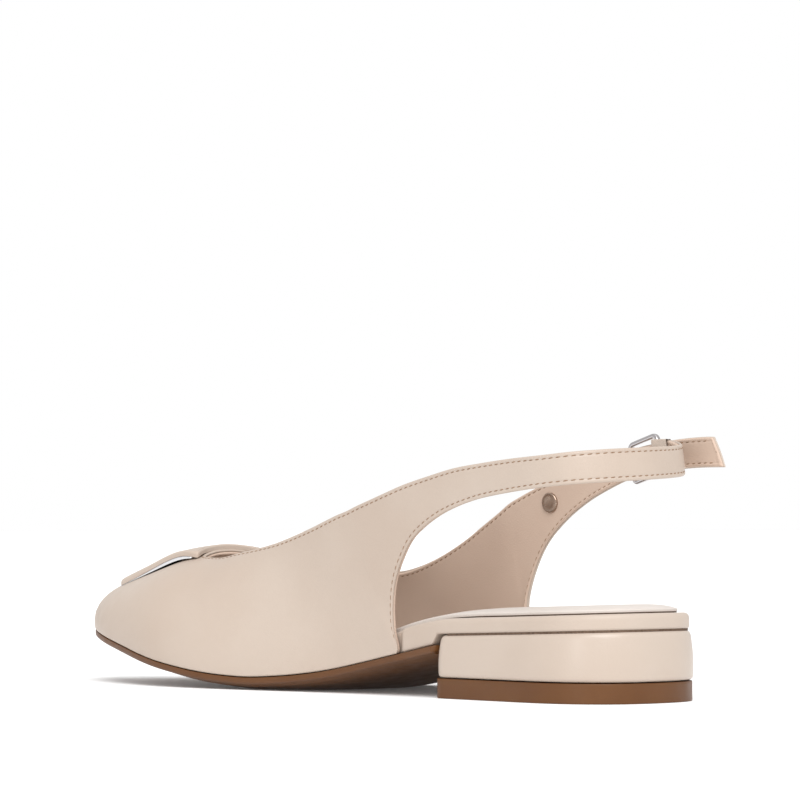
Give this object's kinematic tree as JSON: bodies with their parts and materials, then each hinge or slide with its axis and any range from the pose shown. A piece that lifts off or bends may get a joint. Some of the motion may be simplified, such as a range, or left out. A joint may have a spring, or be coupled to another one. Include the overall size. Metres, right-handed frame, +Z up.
{
  "type": "slingback flat shoe",
  "caption": "Right slingback flat in smooth leather with a low covered block heel, an open heel, a side buckle and a curved plate in front of the throat.",
  "frame": {"origin": "on the floor under the middle of the shoe's bounding box", "axes": "+X from the heel to the toe, +Y to the inner side of this right shoe, +Z up"},
  "size_m": [0.2522, 0.0768, 0.0797],
  "materials": {
    "leather": "smooth nude calf leather, satin",
    "sock_leather": "pale matt lining leather",
    "sole_rubber": "brown, smooth, matt",
    "plated_metal": "polished silver plating"
  },
  "bodies": {
    "root": {"toplift": "sole_rubber", "heel_block": "leather", "outsole": "sole_rubber", "footbed": "leather", "sock": "sock_leather", "upper": "leather", "ornament_metal": "plated_metal", "ornament_leather": "leather", "buckle": "plated_metal", "buckle_prong": "plated_metal", "rivet": "plated_metal"}
  },
  "joints": []
}
